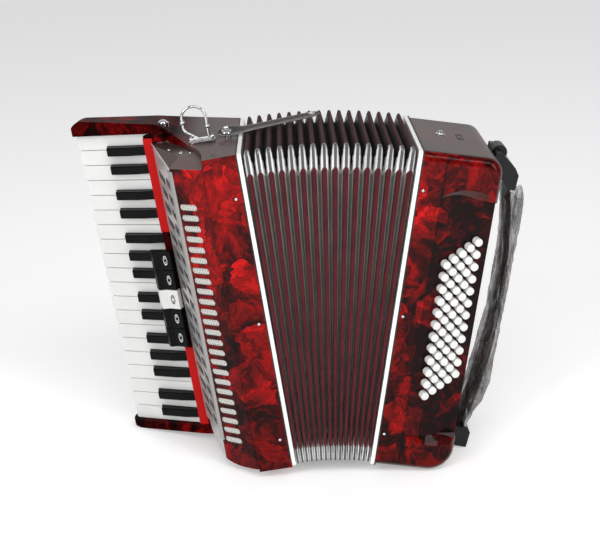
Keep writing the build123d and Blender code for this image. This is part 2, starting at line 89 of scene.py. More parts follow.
joints = {joint["name"]: joint for joint in frame["joints"]}
fan_at = Vector(joints["bellows_fan"]["pos_m"])
upright = Matrix.Rotation(math.radians(-LEAN), 4, "Y")
TREBLE = Matrix.Translation(fan_at) @ upright @ Matrix.Scale(MM, 4) @ Matrix.Translation(-PIVOT)
BASS = (
    Matrix.Translation(fan_at) @ upright @ Matrix.Rotation(math.radians(FAN), 4, "Y")
    @ Matrix.Scale(MM, 4) @ Matrix.Translation(CLOSED_BASS - PIVOT)
)
KEYBOARD = Matrix.Translation(KEY_INNER) @ Matrix((
    (-math.cos(KEY_TILT), -math.sin(KEY_TILT), 0, 0),
    (math.sin(KEY_TILT), -math.cos(KEY_TILT), 0, 0),
    (0, 0, 1, 0),
    (0, 0, 0, 1),
))


def facet(shift, inset, z):
    """Point on the slotted face, shifted along it towards the keys and set inwards."""
    return Vector((
        SLOT_AT.x - shift * math.cos(FACET_TILT) + inset * math.sin(FACET_TILT),
        SLOT_AT.y + shift * math.sin(FACET_TILT) + inset * math.cos(FACET_TILT), z,
    ))


BEND_AT = facet(COVER_BEND, 0.0, 0.0)
FACET_RUN = Vector((-math.cos(FACET_TILT), math.sin(FACET_TILT), 0.0))
SIDE_RUN = (COVER_REAR - BEND_AT).normalized()
SIDE_OUT = Vector((-SIDE_RUN.y, SIDE_RUN.x, 0.0))
BEND_OUT = (FACET_RUN + SIDE_RUN).normalized()


# ---------------------------------------------------------------- materials
class Shader:
    """A node material in the making."""

    def __init__(self, name, sockets):
        self.material = bpy.data.materials.new(name)
        self.material.use_nodes = True
        self.tree = self.material.node_tree
        self.surface = self.tree.nodes["Principled BSDF"]
        self.fill(self.surface, sockets)

    def fill(self, node, inputs):
        for key, value in inputs.items():
            if isinstance(value, bpy.types.NodeSocket):
                self.tree.links.new(value, node.inputs[key])
            else:
                node.inputs[key].default_value = value

    def add(self, kind, inputs=None, **settings):
        node = self.tree.nodes.new("ShaderNode" + kind)
        for key, value in settings.items():
            setattr(node, key, value)
        self.fill(node, inputs or {})
        return node

    def place(self, stretch=(1, 1, 1), turn=(0, 0, 0)):
        source = self.add("TexCoord").outputs["Object"]
        return self.add("Mapping", {"Vector": source, "Scale": stretch, "Rotation": turn}).outputs[0]

    def noise(self, where, scale, detail=3.0, rough=0.5, twist=0.0):
        return self.add("TexNoise", {"Vector": where, "Scale": scale, "Detail": detail,
                                     "Roughness": rough, "Distortion": twist})

    def maths(self, operation, a, b=0.0):
        return self.add("Math", {0: a, 1: b}, operation=operation).outputs[0]

    def ramp(self, fac, stops):
        node = self.add("ValToRGB", {"Fac": fac})
        bar = node.color_ramp
        while len(bar.elements) < len(stops):
            bar.elements.new(0.5)
        for element, (position, colour) in zip(bar.elements, stops):
            element.position = position
            element.color = tuple(colour) + (1.0,)
        return node.outputs["Color"]

    def beyond(self, plane, low, high):
        """0 to 1 mask of the distance in front of a plane, given in metres in the object's space."""
        point, normal = plane
        along = self.add("VectorMath", {0: self.add("TexCoord").outputs["Object"], 1: tuple(normal)},
                         operation="DOT_PRODUCT").outputs["Value"]
        away = self.maths("SUBTRACT", along, point.dot(normal))
        return self.add("MapRange", {"Value": away, "From Min": low * MM, "From Max": high * MM}).outputs[0]

    def mix(self, fac, first, second):
        node = self.add("Mix", {"Factor": fac}, data_type="RGBA", blend_type="MIX")
        self.fill(node, {6: first, 7: second})
        return node.outputs[2]

    def bump(self, height, strength, distance):
        return self.add("Bump", {"Height": height, "Strength": strength, "Distance": distance}).outputs[0]


def grey(value):
    return (value, value, value)


def world_plane(half, at, normal):
    """A plane of one half, in world metres: its point and its unit normal."""
    return half @ Vector(at), (half.to_3x3() @ Vector(normal)).normalized()


def pearl_red(name, side=None, board=None, painted_shade_planes=(), ends=()):
    """Crushed celluloid: oriented flakes with dark creases and bright streaks under a clear gloss,
    with a grey glare painted into the colour where it is seen at a low angle, as a painted reflection. Past
    the plane side it is bare silver, on the plane board it is darker as painted shade, and past each plane
    given for painted shade it is darker and has less painted glare by the amounts given with it. On the
    planes of ends it is evenly grey, as a painted reflection."""
    s = Shader(name, {"Roughness": 0.35, "Coat Weight": 0.2, "Coat Roughness": 0.03,
                      "IOR": 1.45, "Coat IOR": 1.5, "Specular IOR Level": 0.02})
    where = s.place()
    bend = s.noise(where, 26.0, 3.0, 0.6, 0.5).outputs["Color"]
    shift = s.add("VectorMath", {0: bend, 1: (0.5, 0.5, 0.5)}, operation="SUBTRACT").outputs[0]
    wide = s.add("VectorMath", {0: shift, "Scale": 0.05}, operation="SCALE").outputs[0]
    warped = s.add("VectorMath", {0: where, 1: wide}, operation="ADD").outputs[0]
    flakes = s.add("TexVoronoi", {"Vector": warped, "Scale": 26.0})
    turn = s.add("VectorMath", {0: flakes.outputs["Color"], "Scale": 6.0}, operation="SCALE").outputs[0]
    turned = s.add("VectorRotate", {"Vector": warped, "Rotation": turn}, rotation_type="EULER_XYZ").outputs[0]
    combed = s.add("Mapping", {"Vector": turned, "Scale": (1.0, 3.2, 3.2)}).outputs[0]
    streaks = s.noise(combed, 17.0, 4.0, 0.6, 0.8).outputs["Fac"]
    creases = s.noise(combed, 11.0, 2.0, 0.5, 0.9).outputs["Fac"]
    crease = s.maths("ABSOLUTE", s.maths("SUBTRACT", creases, 0.5))
    crease = s.add("MapRange", {"Value": crease, "From Max": 0.02}).outputs[0]
    shade = s.add("SeparateColor", {"Color": flakes.outputs["Color"]}).outputs[1]
    clouds = s.noise(where, 7.0, 2.0, 0.5, 0.3).outputs["Fac"]
    tone = s.maths("MULTIPLY", s.maths("SUBTRACT", streaks, 0.5), 1.55)
    tone = s.maths("ADD", tone, s.maths("MULTIPLY", s.maths("SUBTRACT", shade, 0.5), 0.34))
    tone = s.maths("ADD", tone, s.maths("MULTIPLY", s.maths("SUBTRACT", clouds, 0.5), 0.7))
    tone = s.maths("ADD", tone, 0.5)
    # Painted shade: the button board's face is made darker.
    if board:
        far = s.maths("ABSOLUTE", s.maths("SUBTRACT", s.beyond(board[0], -1.2, 1.2), 0.5))
        board_painted_shade = s.add("MapRange", {"Value": far, "From Min": 0.3, "From Max": 0.2}).outputs[0]
        board_painted_shade = s.maths("MULTIPLY", board_painted_shade, s.beyond(board[1], 0.0, 0.4))
        tone = s.maths("SUBTRACT", tone, s.maths("MULTIPLY", board_painted_shade, 0.22))
    # Painted reflection: where the surface is seen at a low angle, a grey glare is mixed into the colour.
    low = s.add("LayerWeight", {"Blend": 0.5}).outputs["Facing"]
    painted_glare = s.add("MapRange", {"Value": low, "From Min": 0.40, "From Max": 0.56, "To Max": 0.93}).outputs[0]
    # Painted shade: past each plane the colour is darker, and the painted glare, coat and specular are cut.
    for plane, reach, darker, duller in painted_shade_planes:
        past = s.beyond(plane, 0.0, reach)
        tone = s.maths("SUBTRACT", tone, s.maths("MULTIPLY", past, darker))
        if duller:
            gloss = s.maths("SUBTRACT", 1.0, s.maths("MULTIPLY", past, duller))
            painted_glare = s.maths("MULTIPLY", painted_glare, gloss)
            s.fill(s.surface, {"Coat Weight": s.maths("MULTIPLY", gloss, 0.2),
                               "Specular IOR Level": s.maths("MULTIPLY", gloss, 0.02)})
    colour = s.ramp(tone, [
        (0.10, (0.006, 0.001, 0.001)), (0.30, (0.055, 0.001, 0.001)), (0.46, (0.145, 0.002, 0.002)),
        (0.62, (0.25, 0.002, 0.002)), (0.86, (0.60, 0.006, 0.006)),
    ])
    dents = s.maths("MULTIPLY", s.maths("SUBTRACT", 1.0, crease), 0.55)
    creased = s.mix(dents, colour, (0.035, 0.002, 0.002, 1.0))
    # The painted glare's grey goes into the colour here.
    final = s.mix(painted_glare, creased, (0.090, 0.077, 0.073, 1.0))
    if side:
        bare = s.beyond(side, -0.3, 0.3)
        final = s.mix(bare, final, (0.52, 0.51, 0.50, 1.0))
        s.fill(s.surface, {"Metallic": s.maths("MULTIPLY", bare, 0.85)})
    # Painted reflection: the cover's sloped end is made evenly grey.
    for plane in ends:
        final = s.mix(s.beyond(plane, -0.7, -0.4), final, (0.125, 0.092, 0.086, 1.0))
    s.fill(s.surface, {"Base Color": final, "Normal": s.bump(streaks, 0.12, 0.001)})
    return s.material


def plain(name, colour, rough, speckle=0.03, scale=400.0, **sockets):
    """Moulded material with a faint mottle and fine surface texture."""
    s = Shader(name, {key.replace("_", " "): value for key, value in sockets.items()})
    where = s.place()
    fine = s.noise(where, scale, 2.0).outputs["Fac"]
    broad = s.noise(where, 30.0, 2.0).outputs["Fac"]
    dark = tuple(c * (1 - speckle) for c in colour)
    bright = tuple(min(1.0, c * (1 + speckle)) for c in colour)
    roughness = s.add("MapRange", {"Value": broad, "To Min": rough * 0.8, "To Max": rough * 1.2}).outputs[0]
    s.fill(s.surface, {
        "Base Color": s.ramp(broad, [(0.3, dark), (0.7, bright)]),
        "Roughness": roughness,
        "Normal": s.bump(fine, 0.08, 0.0003),
    })
    return s.material


def woven(name, dark, bright, pitch, rough):
    """Cloth with crossed threads, pitch in threads per metre."""
    s = Shader(name, {"Roughness": rough, "Sheen Weight": 0.05, "Sheen Roughness": 0.4,
                      "Specular IOR Level": 0.25})
    where = s.place()
    across = s.add("TexWave", {"Vector": where, "Scale": pitch, "Distortion": 0.6},
                   bands_direction="DIAGONAL")
    other = s.place(turn=(0.9, 0.4, 1.5))
    along = s.add("TexWave", {"Vector": other, "Scale": pitch, "Distortion": 0.6},
                  bands_direction="DIAGONAL")
    weave = s.maths("MULTIPLY", across.outputs["Fac"], along.outputs["Fac"])
    worn = s.noise(where, 60.0, 3.0).outputs["Fac"]
    tone = s.maths("ADD", s.maths("MULTIPLY", weave, 0.6), s.maths("MULTIPLY", worn, 0.5))
    s.fill(s.surface, {"Base Color": s.ramp(tone, [(0.15, dark), (0.8, bright)]),
                       "Normal": s.bump(weave, 0.6, 0.0006)})
    return s.material


def leather(name, colour, rough, grain=900.0):
    """Grained leather or leatherette with fine creases."""
    s = Shader(name, {"Coat Weight": 0.16, "Coat Roughness": 0.18, "Specular IOR Level": 0.3})
    where = s.place()
    cells = s.add("TexVoronoi", {"Vector": where, "Scale": grain},
                  feature="DISTANCE_TO_EDGE").outputs["Distance"]
    creases = s.noise(where, 90.0, 4.0, 0.6, 0.8).outputs["Fac"]
    worn = s.ramp(creases, [(0.3, tuple(c * 0.6 for c in colour)), (0.75, tuple(c * 1.9 for c in colour))])
    height = s.maths("ADD", s.maths("MULTIPLY", cells, 1.6), creases)
    s.fill(s.surface, {"Base Color": worn, "Roughness": rough, "Normal": s.bump(height, 0.35, 0.0006)})
    return s.material


def metal(name, colour, rough, scratch=0.08):
    """Plated or brushed metal with faint smudges."""
    s = Shader(name, {"Metallic": 1.0, "Base Color": tuple(colour) + (1.0,)})
    smudge = s.noise(s.place(), 120.0, 4.0, 0.6).outputs["Fac"]
    roughness = s.add("MapRange", {"Value": smudge, "To Min": rough, "To Max": rough + scratch}).outputs[0]
    s.fill(s.surface, {"Roughness": roughness, "Normal": s.bump(smudge, 0.05, 0.0005)})
    return s.material


def mesh_cloth():
    """Fine silver mesh that shows behind the grille slots."""
    s = Shader("grille_mesh", {"Roughness": 0.45, "Metallic": 0.35})
    threads = []
    for turn in (0.6, -0.6):
        where = s.place(turn=(0, turn, 0.65))
        threads.append(s.add("TexWave", {"Vector": where, "Scale": 95.0, "Distortion": 1.5}).outputs["Fac"])
    net = s.maths("MAXIMUM", threads[0], threads[1])
    s.fill(s.surface, {"Base Color": s.ramp(net, [(0.3, grey(0.34)), (0.8, (0.60, 0.59, 0.55))]),
                       "Normal": s.bump(net, 0.2, 0.0005)})
    return s.material


def clear_film():
    """Thin crumpled clear plastic with milky streaks where it bunches."""
    s = Shader("film_clear", {"Roughness": 0.22, "Specular IOR Level": 0.6})
    where = s.place((1, 1, 0.35))
    crumple = s.noise(where, 60.0, 5.0, 0.62, 1.6).outputs["Fac"]
    lines = s.noise(s.place((1.6, 1.6, 0.22)), 95.0, 3.0, 0.6, 1.0).outputs["Fac"]
    milky = s.add("MapRange", {"Value": crumple, "From Min": 0.38, "From Max": 0.62,
                               "To Min": 0.42, "To Max": 0.78}).outputs[0]
    streak = s.add("MapRange", {"Value": lines, "From Min": 0.56, "From Max": 0.68,
                                "To Max": 0.35}).outputs[0]
    tone = s.ramp(lines, [(0.35, (0.035, 0.033, 0.031)), (0.55, (0.13, 0.125, 0.118)),
                          (0.70, (0.50, 0.49, 0.48))])
    s.fill(s.surface, {"Alpha": s.maths("ADD", milky, streak), "Base Color": tone,
                       "Normal": s.bump(crumple, 0.8, 0.006)})
    return s.material


# Painted shade on the treble case: darker, with less painted glare, past the slope towards the keyboard end,
# and darker lower down.
PEARL = pearl_red("pearl_red", painted_shade_planes=[
    (world_plane(TREBLE, (-48, 0, 0), (-1, 0, 0)), 26.0, 0.24, 0.9),
    (world_plane(TREBLE, (0, 0, 365), (0, 0, -1)), 70.0, 0.10, 0.0),
])
# Painted shade lower on the cover, and its sloped end painted grey as a reflection.
COVER_PEARL = pearl_red("pearl_red_cover", side=world_plane(TREBLE, BEND_AT, BEND_OUT), painted_shade_planes=[
    (world_plane(TREBLE, (0, 0, 340), (0, 0, -1)), 60.0, 0.10, 0.0),
], ends=[
    world_plane(TREBLE, (0, 0, height), (-along_x, -along_y, 1))
    for height, along_x, along_y in (END_STEEP, END_FLAT)
])
BOARD_SLOPE = math.atan2(BOARD_DROP, BASS_W - BOARD_X)
# Painted shade on the bass case: darker on the button board, lower down, and just under the top edge.
BOARD_PEARL = pearl_red("pearl_red_board", board=(
    world_plane(BASS, (BOARD_X, 0, 0), (math.sin(BOARD_SLOPE), -math.cos(BOARD_SLOPE), 0)),
    world_plane(BASS, (BOARD_X, 0, 0), (1, 0, 0)),
), painted_shade_planes=[
    (world_plane(BASS, (0, 0, 240), (0, 0, -1)), 200.0, 0.22, 0.0),
    (world_plane(BASS, (0, 0, 372), (0, 0, -1)), 12.0, 0.06, 0.0),
])
IVORY = plain("ivory_white", (0.72, 0.72, 0.705), 0.3, Coat_Weight=0.1, Coat_Roughness=0.08,
              Specular_IOR_Level=0.2)
EBONY = plain("key_black", (0.004, 0.004, 0.0045), 0.3, 0.2, Coat_Weight=0.03, Coat_Roughness=0.05,
              Specular_IOR_Level=0.06)
RIM_WHITE = plain("frame_white", (0.84, 0.83, 0.81), 0.3, Coat_Weight=0.2)
BLACK_PLASTIC = plain("plastic_black", (0.010, 0.010, 0.011), 0.35, 0.2, Coat_Weight=0.1,
                      Specular_IOR_Level=0.2)
SOFT_BLACK = plain("seam_black", (0.006, 0.006, 0.006), 0.6)
# Painted glare: a brighter plain red for the lit parts of the rail's front.
RAIL_PAINTED_GLARE = plain("rail_red_painted_glare", (0.44, 0.003, 0.003), 0.4, 0.08, Coat_Weight=0.04, Specular_IOR_Level=0.08)
CHROME = metal("chrome", (0.60, 0.60, 0.61), 0.05)
# The corner guards are chrome: a dark metal paints the dark reflection on their ridge, and a plain white
# paints the highlight on their flanks.
GUARD_PAINTED_DARK = metal("guard_ridge_painted_dark", (0.10, 0.10, 0.105), 0.10, 0.4)
GUARD_PAINTED_HIGHLIGHT = plain("guard_painted_highlight", (0.88, 0.88, 0.87), 0.2, 0.15, 900.0)
STEEL = metal("steel", (0.56, 0.56, 0.58), 0.28, 0.2)
SILVER = metal("lattice_silver", (0.40, 0.39, 0.38), 0.3, 0.15)
WOOD = plain("reed_wood", (0.50, 0.33, 0.17), 0.6, 0.2, 90.0)
PLEAT = leather("pleat_black", (0.012, 0.011, 0.011), 0.4, 500.0)
# Painted glare: grey for the lit front walls of the glossy black pleats.
PLEAT_PAINTED_GLARE = plain("pleat_painted_glare", (0.29, 0.278, 0.262), 0.45, 0.10, Specular_IOR_Level=0.2)
# Painted light: a lighter leather for the gussets near the front corners, where the lamps catch them.
GUSSET_PAINTED_LIGHT = leather("gusset_painted_light", (0.42, 0.41, 0.40), 0.25, 300.0)
# The same red tape twice: the brighter copy for the front, and a darker copy for the other sides as painted
# shade.
TAPE = woven("tape_red", (0.040, 0.004, 0.006), (0.17, 0.014, 0.022), 900.0, 0.8)
TAPE_PAINTED_SHADE = woven("tape_red_painted_shade", (0.022, 0.002, 0.003), (0.075, 0.006, 0.009), 900.0, 0.85)
LEATHER = leather("strap_leather", (0.030, 0.028, 0.027), 0.42)
THREAD = plain("thread_grey", (0.34, 0.33, 0.31), 0.6)
PIPING = leather("piping_grey", (0.20, 0.19, 0.18), 0.35)
# Painted shade: a near black sheet behind the openings of the cover's side.
SIDE_PAINTED_SHADE = woven("side_painted_shade", (0.002, 0.002, 0.002), (0.012, 0.004, 0.004), 900.0, 0.9)
GRILLE_MESH = mesh_cloth()
FILM = clear_film()


# ---------------------------------------------------------------- mesh building
class Build:
    """Vertices and faces gathered for one piece."""

    def __init__(self):
        self.verts = []
        self.faces = []
        self.marks = []

    def grid(self, rows, around=False, ends=False, mark=0, turn=None):
        """Quads over rows of points. around closes each row, ends caps the first and last row."""
        width = len(rows[0])
        start = len(self.verts)
        for row in rows:
            self.verts.extend(turn @ Vector(p) if turn else Vector(p) for p in row)
        span = width if around else width - 1
        for r in range(len(rows) - 1):
            for c in range(span):
                a = start + r * width + c
                b = start + r * width + (c + 1) % width
                self.face((a, b, b + width, a + width), mark[r][c] if isinstance(mark, list) else mark)
        if ends:
            last = start + (len(rows) - 1) * width
            self.face(tuple(range(start + width - 1, start - 1, -1)), 0 if isinstance(mark, list) else mark)
            self.face(tuple(range(last, last + width)), 0 if isinstance(mark, list) else mark)

    def face(self, corners, mark=0):
        self.faces.append(corners)
        self.marks.append(mark)

    def revolve(self, profile, turn, mark=0):
        """A turned shape: profile is (radius, height) about the local z axis."""
        rows = []
        for radius, height in profile:
            rows.append([(radius * math.cos(2 * math.pi * i / TURN_STEPS),
                          radius * math.sin(2 * math.pi * i / TURN_STEPS), height)
                         for i in range(TURN_STEPS)])
        self.grid(rows, around=True, ends=True, mark=mark, turn=turn)

    def piece(self, name, place, body, slot, materials, angle=38.0):
        mesh = bpy.data.meshes.new(name)
        mesh.from_pydata([place @ v for v in self.verts], [], self.faces)
        for material in materials:
            mesh.materials.append(material)
        mesh.polygons.foreach_set("material_index", self.marks)
        mesh.polygons.foreach_set("use_smooth", [True] * len(self.faces))
        mesh.set_sharp_from_angle(angle=math.radians(angle))
        mesh.update()
        piece = bpy.data.objects.new(name, mesh)
        bpy.context.scene.collection.objects.link(piece)
        if body:
            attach(piece, body)
        return piece


def soften(piece, width):
    """Rounds a piece's sharp edges, by a width in millimetres."""
    rounding = piece.modifiers.new("rounding", "BEVEL")
    rounding.width = width * MM
    rounding.segments = 2
    rounding.limit_method = "ANGLE"
    rounding.angle_limit = math.radians(35.0)
    rounding.harden_normals = True


def facing(at, normal, up=(0, 0, 1)):
    """Matrix at a point whose local z is the normal."""
    z = Vector(normal).normalized()
    x = Vector(up).cross(z).normalized()
    y = z.cross(x)
    turn = Matrix((x, y, z)).transposed().to_4x4()
    return Matrix.Translation(Vector(at)) @ turn


# ---------------------------------------------------------------- CAD nodes and their materials
def dress(node, material, rounding=0.0):
    """Gives a CAD node its material and, where it is sharp, a fine rounding."""
    piece = frame["nodes"][node]
    for slot in piece.material_slots:
        slot.material = material
    if not piece.material_slots:
        piece.data.materials.append(material)
    if rounding:
        soften(piece, rounding)


def dress_cad():
    for name in frame["nodes"]:
        if name.startswith("white_key"):
            dress(name, IVORY)
        elif name.startswith("black_key"):
            dress(name, EBONY)
        elif name.startswith("bass_buttons"):
            dress(name, IVORY)
        elif name.startswith("register_switch"):
            dress(name, IVORY if name == "register_switch_3" else EBONY, 0.6)
    dress("treble_case", PEARL, 0.9)
    dress("grille_cover", COVER_PEARL, 0.5)
    dress("bass_case", BOARD_PEARL, 0.4)
    dress("key_axle", STEEL)
    dress("treble_reed_blocks", WOOD)
    dress("bass_reed_blocks", WOOD)
    dress("treble_frame", RIM_WHITE, 1.0)
    dress("bass_frame", RIM_WHITE, 1.0)
    dress("strap_hardware", CHROME, 0.4)
    dress("strap_loop", CHROME)
    dress("bass_strap_brackets", BLACK_PLASTIC, 1.2)
    dress("bass_strap_knob", BLACK_PLASTIC, 0.3)
    dress("air_button", IVORY, 0.5)


# ---------------------------------------------------------------- bellows
# Places of a fold's looks in its list of materials.
# Some of these places hold painted light and shade: the lit gussets, the pleats' grey glare, the guards'
# highlight and dark ridge, and the shaded tape.
IN_PLEAT, IN_GUSSET_PAINTED_LIGHT, IN_TAPE, IN_GUARD_PAINTED_HIGHLIGHT, IN_PLEAT_PAINTED_GLARE, IN_GUARD_PAINTED_DARK, IN_TAPE_PAINTED_SHADE = range(7)


def wedge():
    """Apex of the bellows wedge (x and z in the treble frame) and its step angle in radians."""
    fan = math.radians(FAN)
    turn = Matrix.Rotation(fan, 4, "Y")
    face = turn @ (CLOSED_BASS + Vector((-FRAME_T - 0.5, 0, 0)) - PIVOT) + PIVOT
    apex_z = face.z - (face.x - FRAME_T) / math.tan(fan)
    return FRAME_T, apex_z, fan / FOLDS


APEX_X, APEX_Z, STEP = wedge()
NEAR = 3.0 - APEX_Z
FAR = CASE_H + 0.5 - APEX_Z
FRONT, BACK = 1.0, CASE_D - 1.0
CORNER_STOPS = (2.5, 6.0, 10.0, 14.0, 19.0, 25.0)


def side_stops(length):
    """Places along one side of a fold, closer together near its corners."""
    middle = [length * k / 10 for k in range(2, 9)]
    return list(CORNER_STOPS) + middle + [length - s for s in reversed(CORNER_STOPS)]


def fold_loop():
    """Round a fold: (outer radius and y, inner radius and y, distance from the corner, side)."""
    corners = [(FAR, FRONT), (NEAR, FRONT), (NEAR, BACK), (FAR, BACK)]
    deep = FOLD_DEPTH
    inner = [(FAR - deep, FRONT + deep), (NEAR + deep, FRONT + deep),
             (NEAR + deep, BACK - deep), (FAR - deep, BACK - deep)]
    middle = (Vector(corners[0]) + Vector(corners[2])) / 2
    loop = []
    for side in range(4):
        a, b = Vector(corners[side]), Vector(corners[(side + 1) % 4])
        c, d = Vector(inner[side]), Vector(inner[(side + 1) % 4])
        length = (b - a).length
        loop.append((a + (middle - a).normalized() * 1.1, c, 0.0, side))
        for stop in side_stops(length):
            loop.append((a.lerp(b, stop / length), c.lerp(d, stop / length), min(stop, length - stop), side))
    return loop


def fold_point(angle, where, depth, offset):
    """Point of a fold: depth below the ridge and offset sideways from the fold's middle plane."""
    outer, inner = where[0], where[1]
    radius, y = outer.lerp(inner, depth / FOLD_DEPTH)
    return Vector((
        APEX_X + radius * math.sin(angle) + offset * math.cos(angle), y,
        APEX_Z + radius * math.cos(angle) - offset * math.sin(angle),
    ))


def half_pitch(where):
    return where[1][0] * math.tan(STEP / 2)


def ridge_radius(where):
    return min(1.9, 0.40 * half_pitch(where))


def wall_offset(where, depth, lift):
    """Sideways place of a pleat wall at a depth, lifted off it."""
    r = ridge_radius(where)
    h = half_pitch(where)
    return r + (h - r) * (depth - r) / (FOLD_DEPTH - r) + lift


def wall_section(where):
    r = ridge_radius(where)
    side = [(0.0, 0.0), (0.3 * r, 0.7 * r), (r, r), (5.5, wall_offset(where, 5.5, 0.25)),
            (9.5, wall_offset(where, 9.5, 0.2)), (12.3, wall_offset(where, 12.3, -0.25)),
            (FOLD_DEPTH, half_pitch(where))]
    return [(d, -o) for d, o in reversed(side[1:])] + side


def cap_section(where, reach, lift):
    """Tape or metal folded over a ridge, reaching down both walls."""
    r = ridge_radius(where)
    side = [(-lift, 0.0), (0.3 * r - 0.7 * lift, 0.7 * r + 0.7 * lift), (r, r + lift),
            (reach, wall_offset(where, reach, lift)), (reach + 0.3, wall_offset(where, reach + 0.3, -0.1))]
    return [(d, -o) for d, o in reversed(side[1:])] + side


def wall_marks(here, after, width):
    """Materials across one strip of a fold: lighter gussets below the front corners as painted light, in a V
    that leaves the valley black, and a painted grey glare on the front walls."""
    near = max(here[2], after[2])
    on_front = here[3] == 0
    reach = {0: 22, 1: 16, 2: 8, 3: 0}
    marks = []
    for c in range(width):
        inward = min(c, width - 1 - c)
        mark = IN_PLEAT
        # Painted light near the front corners, painted glare on the rest of the front walls.
        if on_front and near < 27:
            mark = IN_GUSSET_PAINTED_LIGHT if near >= reach.get(inward, 0) else IN_PLEAT
        elif on_front and c != 3:
            mark = IN_PLEAT_PAINTED_GLARE
        marks.append(mark)
    return marks


def fold_piece(k, loop):
    """Fold k of the bellows with its edge tape, corner guards and corner gussets."""
    angle = (k + 0.5) * STEP
    build = Build()
    rows = [[fold_point(angle, w, d, o) for d, o in wall_section(w)] for w in loop]
    rows.append(rows[0])
    width = len(rows[0]) - 1
    marks = [wall_marks(loop[j], loop[(j + 1) % len(loop)], width) for j in range(len(loop))]
    build.grid(rows, mark=marks)
    tape = [[fold_point(angle, w, d, o) for d, o in cap_section(w, 3.2, 0.35)] for w in loop]
    # Off the front the tape takes its darker copy, as painted shade.
    tape_marks = [[IN_TAPE if w[3] == 0 else IN_TAPE_PAINTED_SHADE] * (len(tape[0]) - 1) for w in loop]
    build.grid(tape + [tape[0]], mark=tape_marks)
    count = len(loop)
    for corner, first, last in ((0, -3, 6), (1, -5, 3)):
        at = next(i for i, w in enumerate(loop) if w[3] == corner and w[2] == 0.0)
        guard = []
        for step in range(first, last + 1):
            where = loop[(at + step) % count]
            down = step if corner == 0 else -step
            guard.append([fold_point(angle, where, d, o)
                          for d, o in cap_section(where, 3.4 + 0.55 * max(-2, down), 0.5)])
        # Painted highlight on the guard's flanks, painted dark reflection on its ridge.
        flanks = [IN_GUARD_PAINTED_HIGHLIGHT] * 3 + [IN_GUARD_PAINTED_DARK] * 2 + [IN_GUARD_PAINTED_HIGHLIGHT] * 3
        build.grid(guard, mark=[flanks] * len(guard))
    name = f"bellows_fold_{k + 1:02d}"
    looks = [PLEAT, GUSSET_PAINTED_LIGHT, TAPE, GUARD_PAINTED_HIGHLIGHT, PLEAT_PAINTED_GLARE, GUARD_PAINTED_DARK, TAPE_PAINTED_SHADE]
    piece = build.piece(name, TREBLE, None, "pleat_black", looks, 30.0)
    spread_over_fan(piece, k)
    return piece


def spread_over_fan(piece, k):
    """Works out a fold's share of the bellows' opening and closing, but does not use it; bakes the fold's
    placement into its mesh.
    """
    share = (k + 0.5) / FOLDS
    low, high = 0.0, 1.0
    for _ in range(40):
        s = (low + high) / 2
        if s * s * (3 - 2 * s) < share:
            low = s
        else:
            high = s
    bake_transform(piece)


def make_bellows():
    loop = fold_loop()
    folds = [fold_piece(k, loop) for k in range(FOLDS)]
    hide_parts("bellows")


# ---------------------------------------------------------------- frame trims and pins
def rim_line(name, x0, x1, place, body):
    """Thin black gasket line between a case and its white bellows frame."""
    build = Build()
    rows = []
    for x, out in ((x0, -2.0), (x0, RIM_PROUD), (x1, RIM_PROUD), (x1, -2.0)):
        row = []
        for cx, cz, start in ((CASE_D - 5, CASE_H - 5, 0), (5, CASE_H - 5, 90),
                              (5, 5, 180), (CASE_D - 5, 5, 270)):
            for step in range(5):
                t = math.radians(start + step * 22.5)
                r = RIM_CORNER + out
                row.append((x, cx + r * math.cos(t), cz + r * math.sin(t)))
        rows.append(row)
    build.grid(rows, around=True)
    build.piece(name, place, body, "plastic_black", [SOFT_BLACK])


DOME = [(1.9, 0.0), (1.9, 0.4), (1.6, 0.9), (1.0, 1.3), (0.3, 1.4)]


def make_pins():
    treble = Build()
    for z in (336, 186, 38):
        treble.revolve(DOME, facing((-9, 0, z), (0, -1, 0)))
    treble.piece("bellows_pins_treble", TREBLE, "treble", "chrome", [CHROME])
    bass = Build()
    for z in (342, 192, 43):
        bass.revolve(DOME, facing((6, 0, z), (0, -1, 0)))
    bass.piece("bellows_pins_bass", BASS, "bass", "chrome", [CHROME])


# ---------------------------------------------------------------- grille and keyboard side
def stadium(length, width, steps=7):
    """Outline of a slot: points round a bar with round ends."""
    half, radius = length / 2 - width / 2, width / 2
    points = []
    for end in (1, -1):
        for i in range(steps + 1):
            t = math.radians(-90 + 180 * i / steps)
            points.append((end * (half + radius * math.cos(t)), end * radius * math.sin(t)))
    return points


def make_grille_mesh():
    """Silver mesh that fills the slots, a little crowned in each."""
    build = Build()
    for i in range(SLOTS):
        middle = SLOT_LOW + i * SLOT_PITCH
        rows = []
        for inset, share in ((2.6, 1.0), (1.0, 0.985), (0.7, 0.8), (0.55, 0.35)):
            ring = stadium((SLOT_L - 0.2) * share, (SLOT_W - 0.2) * share)
            rows.append([facet(u, inset, middle + v) for u, v in ring])
        build.grid(rows, around=True, ends=True)
    build.piece("grille_mesh", TREBLE, "treble", "grille_silver", [GRILLE_MESH])


def end_height(x, y):
    """Height of the cover's sloped end at a place in plan."""
    return min(height + along_x * x + along_y * y for height, along_x, along_y in (END_STEEP, END_FLAT))


def tube(build, points, radius, mark=0, sides=10):
    """A round bar along points."""
    rows = []
    for i, point in enumerate(points):
        ahead = Vector(points[min(i + 1, len(points) - 1)]) - Vector(points[max(i - 1, 0)])
        place = facing(point, ahead, (0.31, 0.2, 0.93) if abs(ahead.normalized().z) < 0.9 else (0, 1, 0))
        rows.append([
            place @ Vector((radius * math.cos(2 * math.pi * k / sides),
                            radius * math.sin(2 * math.pi * k / sides), 0))
            for k in range(sides)
        ])
    build.grid(rows, around=True, ends=True, mark=mark)


